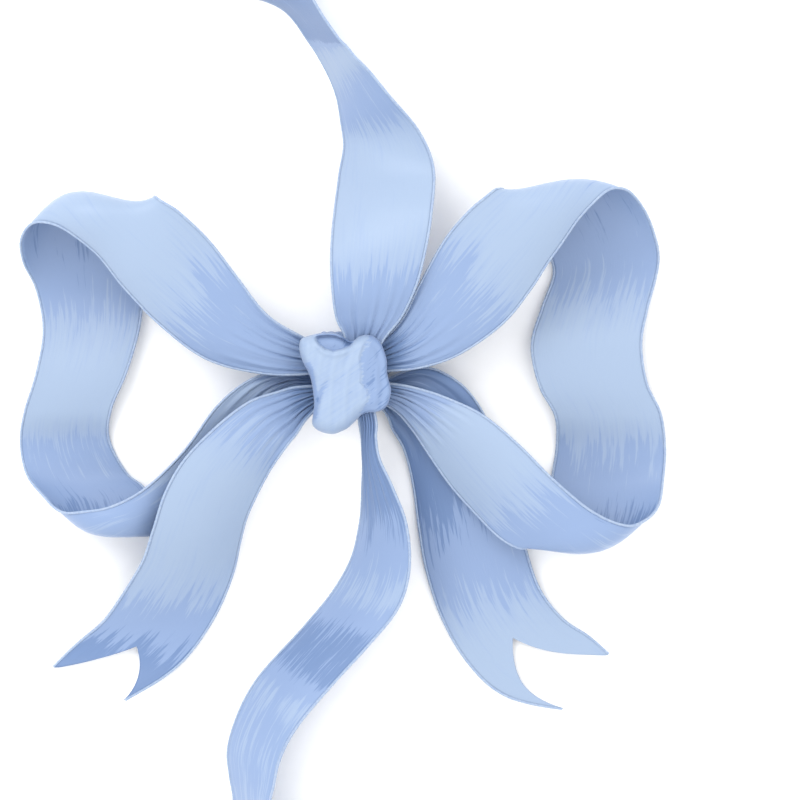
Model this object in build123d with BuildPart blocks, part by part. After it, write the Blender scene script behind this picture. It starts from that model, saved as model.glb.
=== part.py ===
"""A pre-made gift bow: a satin ribbon bow with two loops and two tails, tied round the middle with a
second ribbon whose two long ends run away up and down.

The bow lies on its back. +Z points out of the gift, +X to the right loop, +Y along the upper streamer,
and the origin is the middle of the flat back of the knot, where it meets the gift. Millimetres.
"""

import os
from math import cos, radians, sin

from build123d import *

# Driving sizes
ribbon_width = 38.0  # satin ribbon, 1 1/2 inch
ribbon_thickness = 0.6  # satin with its hems pressed flat
gather_thickness = 2.2  # the thickest that the pleated ribbon gets where the knot squeezes it
neck_share = 0.9  # a neck's thickness beside its round end, as a share of that
reach = 1.0  # how far loops and tails spread, as a share of the bow drawn below
edge_wire = 0.5  # diameter of the wire in each selvedge
wire_gap = 0.35  # from the ribbon's cut edge to its wire

waist_length = 16.0  # along X, between the mouths of the knot
waist_height = 23.0  # along Y
waist_depth = 12.5  # along Z
waist_middle = 2.5  # Y of the middle of the waist
waist_corner = 5.0  # radius of the waist's rounded corners

tie_width = 4.0  # flat sleeve of the twist tie
tie_thickness = 0.9
tie_leg = 45.0  # length of each leg
tie_wire = 0.5  # diameter of the wire in the sleeve
tie_bore_gap = 0.05
tie_strap = 10.8  # from the middle of the knot to where a leg folds
tie_headings = {"left": 145, "right": 38}  # of the legs, in degrees from +X

band_length = 19.0  # along X
band_side = 3.2  # thickness of the tying ribbon above and below the waist
band_front = 2.0
band_back = 1.2  # pressed flat against the gift
band_corner = 6.0
knot_length = 33.5  # tied front of the knot, along X
knot_width = 36.5  # along Y
knot_height = 8.0  # along Z
knot_rounding = 5.0

fit = 0.2  # between pieces that press on each other
clear = 0.3  # between pieces that move past each other
notch_depths = {"left_tail": 22.5, "right_tail": 32.0, "upper_streamer": 26.0, "lower_streamer": 26.0}
sections_per_span = 3
wire_start = 2  # places from the knot to where the edge wires begin
loop_wire_short = 3  # sections that a loop's wires end before its second root
tail_wire_short = 1  # sections that a tail's wires end before its tips

half_waist = waist_length / 2
tie_room = fit + tie_thickness + fit
tie_low = band_back + fit
waist_low = tie_low + tie_thickness + fit
waist_top = waist_low + waist_depth
tie_top = waist_top + fit + tie_thickness
band_hole_top = tie_top + fit
band_top = band_hole_top + band_front
streamer_low = band_top + clear
streamer_top = streamer_low + gather_thickness
knot_low = streamer_top + clear
streamer_level = (streamer_low + streamer_top) / 2

# Each ribbon is a list of places where a straight line lies across it, edge to edge:
# x, y, height of the middle, heading of the line, its slope, and its length as a share of the width.
# A share under 1 is where the ribbon is gathered or cupped, and one over 1 where it rolls askew.
mouth = half_waist + 2 * clear
left_loop_path = [
    (-mouth, 8.5, 12.5, -92, -10, 0.22),
    (-15.5, 9.5, 15, -93, -9, 0.34),
    (-29, 13.5, 19, -98, -12, 0.54),
    (-44, 22.5, 22.5, -113, -14, 0.82),
    (-58, 36, 26, -121, -16, 0.94),
    (-69, 47, 29, -126, -17, 0.92),
    (-78, 56, 30, -142, -14, 0.80),
    (-85, 61, 28, -161, -4, 0.90),
    (-90, 61, 22.5, -171, 3, 1.15),
    (-93, 55, 14.5, -174, 6, 1.30),
    (-94.5, 45.5, 6.5, -177, 5, 1.22),
    (-94, 34, 1.5, -180, 2, 1.02),
    (-93.5, 19, 4, -180, 0, 0.90),
    (-97, 3, 6.5, -180, 0, 0.84),
    (-102, -10.5, 5, -179, 0, 0.81),
    (-103.5, -22, 1.0, -178, 0, 0.84),
    (-99, -34, 2.2, -178, 4, 0.93),
    (-91.4, -41.5, 7.5, -176, 10, 0.96),
    (-86, -51, 15, -193, 11, 0.94),
    (-78.5, -52.5, 20, -197, 14, 0.97),
    (-68, -49, 19.5, -193, 25, 0.93),
    (-57.5, -42, 17.5, -195, 34, 0.87),
    (-47, -30.5, 15, -206, 38, 0.80),
    (-38, -16, 13, -217, 34, 0.66),
    (-29, -5, 10.5, -224, 28, 0.45),
    (-20.5, -0.5, 8, -240, 22, 0.26),
    (-14, 0, 6.8, -258, 14, 0.16),
    (-mouth, 0, 6.2, -270, 6, 0.13),
]
right_loop_path = [
    (mouth, 8.5, 12.5, -88, -10, 0.22),
    (16, 10, 15, -78, -10, 0.30),
    (25.5, 14.5, 18.5, -67, -10, 0.50),
    (35, 23, 22, -61, -12, 0.77),
    (47, 36, 25, -54, -13, 0.96),
    (56.5, 47.5, 27.5, -50, -14, 0.95),
    (64.5, 57, 29, -44, -13, 0.84),
    (71, 64.5, 28.5, -20, -5, 0.78),
    (77, 68.5, 25, 0, 3, 0.92),
    (82.5, 67.5, 18.5, 6, 7, 1.06),
    (88.5, 61, 11, 8, 8, 1.09),
    (94, 52, 5, 9, 6, 1.03),
    (96.5, 42, 1.5, 6, 2, 1.00),
    (92, 26.5, 3.5, -1, 1, 1.00),
    (89, 13.5, 6, 0, 0, 1.04),
    (91.5, -1, 6, 1, 0, 1.02),
    (97, -12, 4, 1, 0, 1.00),
    (98.3, -24, 1.0, -1, 0, 1.03),
    (97, -35.5, 2.4, -3, 3, 1.05),
    (95.2, -45.5, 8, 1, 8, 1.04),
    (90.8, -53, 14.5, 8, 12, 1.00),
    (84, -56.5, 20, 13, 15, 0.98),
    (74, -52.5, 21, 19, 22, 0.92),
    (63, -43, 20, 27, 28, 0.89),
    (52, -31.5, 18, 34, 30, 0.85),
    (41, -20, 16.5, 40, 29, 0.70),
    (30.5, -11.5, 14, 44, 27, 0.48),
    (22, -6.5, 12, 52, 24, 0.30),
    (14, -4, 10.6, 68, 14, 0.18),
    (mouth, -3.5, 10, 88, 6, 0.14),
]
left_tail_path = [
    (-mouth, -4.8, 12.5, -90, -8, 0.15),
    (-15.9, -8, 15.8, -77, -9, 0.31),
    (-21.5, -11.5, 19, -62, -13, 0.43),
    (-28, -15.5, 22.5, -47, -18, 0.56),
    (-36.5, -24, 25, -34, -25, 0.70),
    (-44.5, -34.5, 25.5, -25, -29, 0.83),
    (-50, -45, 24, -16, -31, 0.90),
    (-53.5, -56, 20, -9, -31, 0.94),
    (-58, -69.5, 13, -5, -25, 0.95),
    (-68.5, -88, 5, -6, -9, 0.97),
    (-80, -100.5, 3, -14, 3, 0.96),
    (-94.4, -111.3, 5, -24, 14, 0.78),
]
right_tail_path = [
    (mouth, -5, 4.8, 88, 4, 0.18),
    (15.4, -4.5, 5.2, 78, 6, 0.30),
    (23.5, -6, 5.8, 62, 11, 0.66),
    (31.5, -12, 6, 50, 13, 0.82),
    (37, -21, 5.8, 40, 13, 0.90),
    (41, -33, 4.8, 31, 11, 0.93),
    (45, -48.5, 3.6, 21, 7, 0.97),
    (48, -64, 2.6, 17, 5, 0.97),
    (53.5, -81, 2.2, 16, 3, 0.97),
    (62.5, -95, 2.2, 23, 3, 1.00),
    (74, -104.5, 3, 36, 6, 0.98),
    (89, -110.5, 5, 52, 14, 0.70),
]
upper_streamer_path = [
    (4.5, 5.5, streamer_level, 0, 0, 0.22),
    (7.5, 16, streamer_level, 0, 0, 0.36),
    (9, 23.5, 22, 0, 4, 0.60),
    (11, 34, 26.5, 2, 8, 0.78),
    (12.5, 47, 27.5, 3, 12, 0.90),
    (14, 60.5, 24, 3, 16, 0.96),
    (15.3, 76, 15.5, 3, 22, 0.96),
    (13.7, 88.5, 13, 6, 37, 0.90),
    (7.8, 100, 15, 15, 54, 0.87),
    (2.8, 109.5, 16, 24, 65, 0.84),
    (-1.5, 116.2, 16.6, 12, 70, 0.80),
    (-5, 121.6, 16.8, -9, 68, 0.80),
    (-8, 125.5, 16.9, -24, 62, 0.84),
    (-11.7, 130.6, 17.2, -24, 62, 0.86),
    (-15.6, 135.4, 17.5, -16, 63, 0.88),
    (-20.6, 140.6, 17.6, 0, 61, 0.93),
    (-26.5, 147, 15.3, 20, 47, 0.95),
    (-35, 154.5, 9.4, 38, 25, 0.98),
    (-45, 162, 4.0, 50, 8, 1.00),
    (-55, 168.5, 0.9, 56, 0, 1.00),
]
lower_streamer_path = [
    (6.5, -5.5, streamer_level, 0, 0, 0.15),
    (8.5, -14, streamer_level, 2, 6, 0.15),
    (8.9, -20.5, 17.3, 8, 45, 0.20),
    (9.6, -28, 14.5, 12, 64, 0.36),
    (12, -39.5, 12.6, 8, 60, 0.60),
    (14, -52, 12.2, 4, 52, 0.74),
    (13, -66.5, 12, -4, 46, 0.80),
    (7.5, -80, 11.6, -10, 42, 0.84),
    (-3, -93, 11.2, -17, 41, 0.82),
    (-14, -105, 10.9, -23, 42, 0.78),
    (-23, -115.5, 10.9, -23, 43, 0.77),
    (-29.5, -126, 11, -17, 44, 0.76),
    (-33.5, -137, 10.8, -10, 45, 0.73),
    (-34, -146, 12.9, -4, 54, 0.74),
    (-33.8, -154.5, 13.5, 0, 60, 0.72),
    (-31, -165, 12.5, 8, 45, 0.80),
    (-25, -175, 7, 20, 18, 0.92),
    (-17, -184, 0.9, 30, 0, 1.00),
]


def spread_out(path):
    """The path with everything past the knot moved by the bow's reach."""
    root_x, root_y = path[1][0], path[1][1]
    moved = []
    for index, (x, y, *rest) in enumerate(path):
        beyond = abs(x) > abs(root_x) or abs(y) > abs(root_y)
        if beyond and index > 0:
            x = root_x + (x - root_x) * reach
            y = root_y + (y - root_y) * reach
        moved.append((x, y, *rest))
    return moved


def filled_in(path):
    """The path with a smooth curve of further places between the given ones."""
    ends = [path[0], *path, path[-1]]
    filled = []
    for before, start, finish, after in zip(ends, ends[1:], ends[2:], ends[3:]):
        for step in range(sections_per_span):
            t = step / sections_per_span
            filled.append(
                tuple(
                    0.5 * (2 * b + (c - a) * t + (2 * a - 5 * b + 4 * c - d) * t**2
                           + (3 * b - a - 3 * c + d) * t**3)
                    for a, b, c, d in zip(before, start, finish, after)
                )
            )
    return [*filled, path[-1]]


def crossing(place):
    """Middle and direction of the line across the ribbon at one place."""
    x, y, z, turn, tilt, share = place
    flat = cos(radians(tilt))
    across = Vector(flat * cos(radians(turn)), flat * sin(radians(turn)), sin(radians(tilt)))
    return Vector(x, y, z), across


def section_planes(places):
    """A plane square to the ribbon at each place, with its X axis across the ribbon."""
    middles = [crossing(place)[0] for place in places]
    planes = []
    for index, place in enumerate(places):
        middle, across = crossing(place)
        onward = middles[min(index + 1, len(places) - 1)] - middles[max(index - 1, 0)]
        normal = onward - across * onward.dot(across)
        planes.append(Plane(origin=middle, x_dir=across, z_dir=normal.normalized()))
    return planes


def thickness_at(share):
    """A gathered ribbon is thicker, because its pleats lie on each other."""
    return max(ribbon_thickness, min(gather_thickness, ribbon_thickness / share))


def ribbon(path, from_place=0, hole_at=None, hole_radius=0.0, notch_depth=0.0):
    """A ribbon through the places of its path, with a round bite where it turns at the knot and a
    swallowtail cut into its far end."""
    places = filled_in(path)[from_place * sections_per_span:]
    planes = section_planes(places)
    with BuildPart() as piece:
        for place, plane in zip(places, planes):
            with BuildSketch(plane):
                Rectangle(ribbon_width * place[5], thickness_at(place[5]))
        loft(ruled=True)
        if hole_at is not None:
            with Locations(hole_at):
                Cylinder(hole_radius, 2 * ribbon_width, mode=Mode.SUBTRACT)
        if notch_depth:
            end = planes[-1]
            half = ribbon_width * places[-1][5] / 2
            with BuildSketch(Plane(origin=end.origin, x_dir=end.x_dir, z_dir=-end.y_dir)):
                with BuildLine():
                    Polyline((-half, 1), (0, -notch_depth), (half, 1), close=True)
                make_face()
            extrude(amount=notch_depth / 2, both=True, mode=Mode.SUBTRACT)
    return piece


def selvedge_wire(path, side, short):
    """The wire along one edge of a ribbon, in a square section as wide as the wire: side is -1 or 1."""
    places = filled_in(path)[wire_start * sections_per_span:]
    planes = section_planes(places)
    points = [
        plane.origin + plane.x_dir * side * (ribbon_width * place[5] / 2 + wire_gap + edge_wire / 2)
        for place, plane in zip(places, planes)
    ]
    points, planes = points[:len(points) - short], planes[:len(points) - short]
    with BuildPart() as piece:
        for index, (point, plane) in enumerate(zip(points, planes)):
            onward = points[min(index + 1, len(points) - 1)] - points[max(index - 1, 0)]
            onward = onward.normalized()
            upright = plane.y_dir - onward * plane.y_dir.dot(onward)
            with BuildSketch(Plane(origin=point, x_dir=upright, z_dir=onward)):
                Rectangle(edge_wire, edge_wire)
        loft(ruled=True)
    return piece


def neck(path):
    """The gathered stub of a ribbon from the waist to the round end that the ribbon turns on."""
    places = path[:2]
    x, y, z, _, _, share = path[1]
    turning = ribbon_width * share / 2
    with BuildPart() as piece:
        for place, plane in zip(places, section_planes(places)):
            with BuildSketch(plane):
                Rectangle(ribbon_width * place[5], gather_thickness * neck_share)
        loft(ruled=True)
        with Locations((x, y, z)):
            Cylinder(turning, gather_thickness)
    return piece


# The two loops, each one length of ribbon that leaves the waist, rolls over twice and comes back
left_loop = ribbon(spread_out(left_loop_path))
left_loop.part.label = "left_loop"
right_loop = ribbon(spread_out(right_loop_path))
right_loop.part.label = "right_loop"

# The tails and streamers, which turn on the round ends of their necks
turning_pieces = {
    "left_tail": left_tail_path,
    "right_tail": right_tail_path,
    "upper_streamer": upper_streamer_path,
    "lower_streamer": lower_streamer_path,
}
pieces = [left_loop, right_loop]
for name, path in turning_pieces.items():
    path = spread_out(path)
    x, y, z, _, _, share = path[1]
    radius = ribbon_width * share / 2 + clear
    free_end = ribbon(path, from_place=1, hole_at=(x, y, z), hole_radius=radius,
                      notch_depth=notch_depths[name])
    free_end.part.label = name
    stub = neck(path)
    stub.part.label = f"{name}_neck"
    pieces += [free_end, stub]

# The wires woven into both edges of every length
wired = {"left_loop": (left_loop_path, loop_wire_short), "right_loop": (right_loop_path, loop_wire_short)}
wired |= {name: (path, tail_wire_short) for name, path in turning_pieces.items()}
for name, (path, short) in wired.items():
    path = spread_out(path)
    for side, word in ((-1, "first"), (1, "second")):
        wire = selvedge_wire(path, side, short)
        wire.part.label = f"{name}_{word}_edge_wire"
        pieces.append(wire)

# The gathered waist: every length of the bow ribbon squeezed into one bundle
waist_y_z = (waist_middle, waist_low + waist_depth / 2)
with BuildPart() as gathered_waist:
    with BuildSketch(Plane.YZ.offset(-half_waist)):
        with Locations(waist_y_z):
            RectangleRounded(waist_height, waist_depth, waist_corner)
    extrude(amount=waist_length)
gathered_waist.part.label = "gathered_waist"


def ring_sketch(outer, inner):
    """A rounded ring round the waist: outer and inner offsets from the waist's outline."""
    with Locations(waist_y_z):
        RectangleRounded(waist_height + 2 * outer, waist_depth + 2 * outer, waist_corner + outer)
        RectangleRounded(waist_height + 2 * inner, waist_depth + 2 * inner, waist_corner + inner,
                         mode=Mode.SUBTRACT)


# The twist tie that cinches the waist, with a strap out of each mouth of the knot at the back
with BuildPart() as twist_tie_loop:
    with BuildSketch(Plane.YZ.offset(-tie_width / 2)):
        ring_sketch(fit + tie_thickness, fit)
    extrude(amount=tie_width)
    with Locations((0, waist_middle, tie_low + tie_thickness / 2)):
        Box(2 * tie_strap, tie_width, tie_thickness)
twist_tie_loop.part.label = "twist_tie_loop"

leg_pieces = []
for name, heading in tie_headings.items():
    side = -1 if name == "left" else 1
    skew = tie_width / 2 * abs(sin(radians(heading)))
    start = Plane(
        origin=(side * (tie_strap + clear + skew), waist_middle, tie_low + tie_thickness / 2),
        x_dir=(0, 0, 1),
        z_dir=(cos(radians(heading)), sin(radians(heading)), 0),
    )
    with BuildPart() as sleeve:
        with BuildSketch(start):
            Rectangle(tie_thickness, tie_width)
            Circle(tie_wire / 2 + tie_bore_gap, mode=Mode.SUBTRACT)
        extrude(amount=tie_leg)
    sleeve.part.label = f"twist_tie_{name}_leg"
    with BuildPart() as core:
        with BuildSketch(start):
            Circle(tie_wire / 2)
        extrude(amount=tie_leg)
    core.part.label = f"twist_tie_{name}_wire"
    leg_pieces += [sleeve, core]

# The band of the tying ribbon round the waist, flat at the back
with BuildPart() as knot_band:
    low_y = waist_middle - waist_height / 2 - tie_room
    high_y = waist_middle + waist_height / 2 + tie_room
    with BuildSketch(Plane.YZ.offset(-band_length / 2)):
        with Locations(((low_y + high_y) / 2, band_top / 2)):
            RectangleRounded(high_y - low_y + 2 * band_side, band_top, band_corner)
        with Locations(((low_y + high_y) / 2, (band_back + band_hole_top) / 2)):
            RectangleRounded(high_y - low_y, band_hole_top - band_back, waist_corner + tie_room,
                             mode=Mode.SUBTRACT)
    extrude(amount=band_length)
knot_band.part.label = "knot_band"

# The tied front of the knot, over the two streamers
with BuildPart() as knot_front:
    with BuildSketch(Plane.XY.offset(knot_low)):
        Ellipse(knot_length / 2, knot_width / 2)
    extrude(amount=knot_height)
    fillet(knot_front.faces().sort_by(Axis.Z)[-1].edges(), knot_rounding)
knot_front.part.label = "knot_front"

pieces += [gathered_waist, twist_tie_loop, *leg_pieces, knot_band, knot_front]

os.makedirs("parts", exist_ok=True)
for piece in pieces:
    export_step(piece.part, f"parts/{piece.part.label}.step")
print(len(pieces), "pieces")
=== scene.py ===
# %% [markdown]
# # A pre-made gift bow in blue satin
#
# A satin ribbon is folded into two loops and two tails and gathered at the middle. A second ribbon
# is tied round the gathers, and its two long ends run away up and down. The bow lies on its back on
# the gift, +Z points out of the gift, +X to the right loop, and the origin is the middle of the
# flat back of the knot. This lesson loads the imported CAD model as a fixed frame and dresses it:
# cloth where the frame holds plain soft solids, and finishes for the wires and the twist tie.

# %% Load the frame
import math

import bmesh
import bpy
import numpy as np
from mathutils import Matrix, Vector


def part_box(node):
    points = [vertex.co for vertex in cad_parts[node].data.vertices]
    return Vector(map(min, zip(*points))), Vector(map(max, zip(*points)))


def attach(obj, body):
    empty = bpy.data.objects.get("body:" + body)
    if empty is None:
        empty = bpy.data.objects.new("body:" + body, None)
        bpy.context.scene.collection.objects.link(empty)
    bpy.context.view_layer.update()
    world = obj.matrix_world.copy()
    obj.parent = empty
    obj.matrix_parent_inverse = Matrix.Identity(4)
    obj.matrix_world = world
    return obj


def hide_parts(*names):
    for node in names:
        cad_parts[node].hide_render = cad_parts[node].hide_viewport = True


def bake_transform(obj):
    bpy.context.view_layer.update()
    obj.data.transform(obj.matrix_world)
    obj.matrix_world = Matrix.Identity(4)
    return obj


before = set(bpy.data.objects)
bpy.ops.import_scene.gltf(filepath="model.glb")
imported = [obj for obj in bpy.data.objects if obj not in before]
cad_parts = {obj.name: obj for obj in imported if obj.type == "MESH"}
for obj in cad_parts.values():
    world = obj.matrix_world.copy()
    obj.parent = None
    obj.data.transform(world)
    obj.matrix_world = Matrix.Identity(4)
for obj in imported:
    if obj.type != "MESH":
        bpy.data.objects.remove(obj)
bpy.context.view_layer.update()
MM = 0.001
print("nodes:", len(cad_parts))


# %% [markdown]
# ## The camera
#
# The bow is seen squarely from above, as someone sees the top of a gift. A long lens, well back,
# keeps the loops that rise towards the eye from looking swollen.

# %% Camera
camera_data = bpy.data.cameras.new("camera")
camera_data.lens = 150
camera_data.sensor_width = 36
camera = bpy.data.objects.new("camera", camera_data)
bpy.context.scene.collection.objects.link(camera)
camera.location = (20.35 * MM, -6.66 * MM, 1.2333)
bpy.context.scene.camera = camera
print("camera height:", round(camera.location.z, 3), "m")


# %% [markdown]
# ## The floor and the light
#
# The bow lies on a sweep of white paper. A bright even sky and one wide soft box keep the shadows
# faint. The paper is lit a little past white, as a studio does for a clean background, and the
# dyes below are mixed for that light.

# %% Helpers for colours and nodes
STUDIO_LIGHT = 1.8  # how far past white the paper is lit


def linear(hex_colour, strength=1.0):
    """An sRGB hex colour as linear red, green, blue and alpha."""
    channels = [int(hex_colour[place:place + 2], 16) / 255 for place in (1, 3, 5)]
    curved = [c / 12.92 if c <= 0.04045 else ((c + 0.055) / 1.055) ** 2.4 for c in channels]
    return (*[c * strength for c in curved], 1.0)


def add_node(tree, kind, settings=None, **inputs):
    """A node of this kind with its settings, and each input given a value or a link."""
    node = tree.nodes.new(kind)
    for name, value in (settings or {}).items():
        setattr(node, name, value)
    for name, value in inputs.items():
        number = name[3:] if name.startswith("in_") else ""
        socket = node.inputs[int(number)] if number.isdigit() else node.inputs[name.replace("_", " ")]
        if isinstance(value, bpy.types.NodeSocket):
            tree.links.new(value, socket)
        else:
            socket.default_value = value
    return node


def new_material(name):
    """An empty material with its node tree, shader and output."""
    material = bpy.data.materials.new(name)
    material.use_nodes = True
    tree = material.node_tree
    tree.nodes.clear()
    shader = tree.nodes.new("ShaderNodeBsdfPrincipled")
    output = tree.nodes.new("ShaderNodeOutputMaterial")
    tree.links.new(shader.outputs["BSDF"], output.inputs["Surface"])
    return material, tree, shader


# %% Floor, sky and soft box
paper, tree, shader = new_material("white_paper_sweep")
grain = add_node(tree, "ShaderNodeTexNoise", Scale=900.0, Detail=3.0)
ramp = add_node(tree, "ShaderNodeMapRange", Value=grain.outputs["Fac"], To_Min=0.9, To_Max=0.94)
tone = add_node(tree, "ShaderNodeCombineColor", Red=ramp.outputs[0], Green=ramp.outputs[0],
                Blue=ramp.outputs[0])
tree.links.new(tone.outputs[0], shader.inputs["Base Color"])
shader.inputs["Roughness"].default_value = 0.9
shader.inputs["Specular IOR Level"].default_value = 0.1

bpy.ops.mesh.primitive_plane_add(size=6, location=(0, 0, 0))
floor = bpy.context.object
floor.name = "paper_floor"
for vertex in floor.data.vertices:
    vertex.co.z = -0.6 * MM
floor.data.materials.append(paper)

world = bpy.data.worlds.new("soft_sky")
bpy.context.scene.world = world
world.use_nodes = True
world.node_tree.nodes["Background"].inputs["Color"].default_value = (1, 1, 1, 1)
world.node_tree.nodes["Background"].inputs["Strength"].default_value = 0.94 * STUDIO_LIGHT

soft_box_data = bpy.data.lights.new("soft_box", "AREA")
soft_box_data.shape = "DISK"
soft_box_data.size = 1.1
soft_box_data.energy = 11
soft_box = bpy.data.objects.new("soft_box", soft_box_data)
bpy.context.scene.collection.objects.link(soft_box)
soft_box.location = (-0.75, 0.95, 1.35)
soft_box.rotation_euler = (Vector((0, 0, 0)) - soft_box.location).to_track_quat("-Z", "Y").to_euler()
bpy.context.scene.view_settings.view_transform = "Standard"
print("floor and lights:", floor.name, world.name, soft_box.name)


# %% [markdown]
# ## How a ribbon lies
#
# A satin ribbon bends easily along its length and hardly at all across it, so its shape is told by
# a list of places: at each one a line lies across the ribbon from edge to edge. A place gives the
# middle of that line (x, y, z in millimetres), its heading and slope in degrees, and its length as
# a share of the ribbon's width. Cloth doesn't shrink, so where the share is small the width is
# taken up by pleats, and where it is a little under one the ribbon is cupped. The seventh number is
# how far the middle bulges out of the straight line. The last two are painted light and shade,
# outside and inside, from 0 (dark) to 1 (light): the satin's broad light and dark sweeps, its shade
# in the rolls and near the knot and its sheen are painted into its colour there.

# %% Sizes shared with the frame, in millimetres
RIBBON_WIDTH = 38.0
CLOTH = 0.42  # satin with nothing folded
HEM = 0.48  # radius of the bead that the edge wire makes in the hem
WIRE_GAP = 0.35
MOUTH = 8.6
STREAMER_LEVEL = 19.7
NOTCHES = {"left_tail": 22.5, "right_tail": 32.0, "upper_streamer": 26.0, "lower_streamer": 26.0}

# %% The two loops
left_loop_path = [
    (-MOUTH, 8.5, 12.5, -92, -10, 0.22, 0.0, 0.15, 0.1),
    (-15.5, 9.5, 15, -93, -9, 0.34, 0.0, 0.3, 0.1),
    (-29, 13.5, 19, -98, -12, 0.54, 1.0, 0.42, 0.1),
    (-44, 22.5, 22.5, -113, -14, 0.82, 1.5, 0.5, 0.2),
    (-58, 36, 26, -121, -16, 0.94, 2.0, 0.74, 0.2),
    (-69, 47, 29, -126, -17, 0.92, 2.5, 0.92, 0.2),
    (-78, 56, 30, -142, -14, 0.80, 3.0, 0.92, 0.2),
    (-85, 61, 28, -161, -4, 0.90, 5, 0.88, 0.3),
    (-90, 61, 22.5, -171, 3, 1.15, 7.5, 0.85, 0.3),
    (-93, 55, 14.5, -174, 6, 1.30, 7, 0.8, 0.36),
    (-94.5, 45.5, 6.5, -177, 5, 1.22, 4.0, 0.5, 0.36),
    (-94, 34, 1.5, -180, 2, 1.02, 1.0, 0.5, 0.5),
    (-93.5, 19, 4, -180, 0, 0.90, 0.5, 0.5, 0.7),
    (-97, 3, 6.5, -180, 0, 0.84, 0.0, 0.5, 0.88),
    (-102, -10.5, 5, -179, 0, 0.81, 0.0, 0.5, 0.92),
    (-103.5, -22, 1.0, -178, 0, 0.84, 0.5, 0.5, 0.58),
    (-99, -34, 2.2, -178, 4, 0.93, 1.0, 0.5, 0.5),
    (-91.4, -41.5, 7.5, -176, 10, 0.96, 2.5, 0.5, 0.32),
    (-86, -51, 15, -193, 11, 0.94, 4.0, 0.5, 0.2),
    (-78.5, -52.5, 20, -197, 14, 0.97, 4.0, 0.5, 0.1),
    (-68, -49, 19.5, -193, 25, 0.93, 3.0, 0.5, 0.1),
    (-57.5, -42, 17.5, -195, 34, 0.87, 2.0, 0.62, 0.2),
    (-47, -30.5, 15, -206, 38, 0.80, 1.5, 0.7, 0.2),
    (-38, -16, 13, -217, 34, 0.66, 1.0, 0.72, 0.2),
    (-29, -5, 10.5, -224, 28, 0.45, 0.5, 0.66, 0.2),
    (-20.5, -0.5, 8, -240, 22, 0.26, 0.0, 0.4, 0.1),
    (-14, 0, 6.8, -258, 14, 0.16, 0.0, 0.1, 0.1),
    (-MOUTH, 0, 6.2, -270, 6, 0.13, 0.0, 0.1, 0.1),
]
right_loop_path = [
    (MOUTH, 8.5, 12.5, -88, -10, 0.22, 0.0, 0.05, 0.1),
    (16, 10, 15, -78, -10, 0.30, 0.0, 0.15, 0.1),
    (25.5, 14.5, 18.5, -67, -10, 0.50, 1.0, 0.33, 0.1),
    (35, 23, 22, -61, -12, 0.77, 1.5, 0.45, 0.2),
    (47, 36, 25, -54, -13, 0.96, 2.0, 0.62, 0.2),
    (56.5, 47.5, 27.5, -50, -14, 0.95, 2.5, 0.85, 0.2),
    (64.5, 57, 29, -44, -13, 0.84, 3.0, 0.88, 0.2),
    (71, 64.5, 28.5, -20, -5, 0.78, 4.0, 0.82, 0.2),
    (77, 68.5, 25, 0, 3, 0.92, 4.0, 0.76, 0.3),
    (82.5, 67.5, 18.5, 6, 7, 1.06, 4.5, 0.6, 0.38),
    (88.5, 61, 11, 8, 8, 1.09, 3.0, 0.5, 0.38),
    (94, 52, 5, 9, 6, 1.03, 1.5, 0.5, 0.42),
    (96.5, 42, 1.5, 6, 2, 1.00, 1.0, 0.5, 0.52),
    (92, 26.5, 3.5, -1, 1, 1.00, 0.5, 0.5, 0.7),
    (89, 13.5, 6, 0, 0, 1.04, 0.0, 0.5, 0.9),
    (91.5, -1, 6, 1, 0, 1.02, 0.0, 0.5, 0.92),
    (97, -12, 4, 1, 0, 1.00, 0.0, 0.5, 0.85),
    (98.3, -24, 1.0, -1, 0, 1.03, 0.5, 0.5, 0.6),
    (97, -35.5, 2.4, -3, 3, 1.05, 1.5, 0.5, 0.5),
    (95.2, -45.5, 8, 1, 8, 1.04, 3.0, 0.5, 0.32),
    (90.8, -53, 14.5, 8, 12, 1.00, 7.0, 0.6, 0.2),
    (84, -56.5, 20, 13, 15, 0.98, 6.0, 0.5, 0.1),
    (74, -52.5, 21, 19, 22, 0.92, 3.5, 0.5, 0.1),
    (63, -43, 20, 27, 28, 0.89, 2.5, 0.66, 0.2),
    (52, -31.5, 18, 34, 30, 0.85, 2.0, 0.9, 0.2),
    (41, -20, 16.5, 40, 29, 0.70, 1.5, 0.88, 0.2),
    (30.5, -11.5, 14, 44, 27, 0.48, 1.0, 0.6, 0.2),
    (22, -6.5, 12, 52, 24, 0.30, 0.0, 0.4, 0.1),
    (14, -4, 10.6, 68, 14, 0.18, 0.0, 0.12, 0.1),
    (MOUTH, -3.5, 10, 88, 6, 0.14, 0.0, 0.1, 0.1),
]

# %% The two tails
left_tail_path = [
    (-MOUTH, -4.8, 12.5, -90, -8, 0.15, 0.0, 0.1, 0.1),
    (-15.9, -8, 15.8, -77, -9, 0.31, 0.0, 0.25, 0.1),
    (-21.5, -11.5, 19, -62, -13, 0.43, 1.0, 0.42, 0.2),
    (-28, -15.5, 22.5, -47, -18, 0.56, 2.0, 0.56, 0.2),
    (-36.5, -24, 25, -34, -25, 0.70, 3.0, 0.62, 0.2),
    (-44.5, -34.5, 25.5, -25, -29, 0.83, 3.0, 0.9, 0.2),
    (-50, -45, 24, -16, -31, 0.90, 3.0, 0.92, 0.2),
    (-53.5, -56, 20, -9, -31, 0.94, 3.0, 0.92, 0.2),
    (-58, -69.5, 13, -5, -25, 0.95, 2.0, 0.78, 0.2),
    (-68.5, -88, 5, -6, -9, 0.97, 1.0, 0.46, 0.2),
    (-80, -100.5, 3, -14, 3, 0.96, 0.5, 0.18, 0.2),
    (-94.4, -111.3, 5, -24, 14, 0.78, 0.0, 0.04, 0.2),
]
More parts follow.
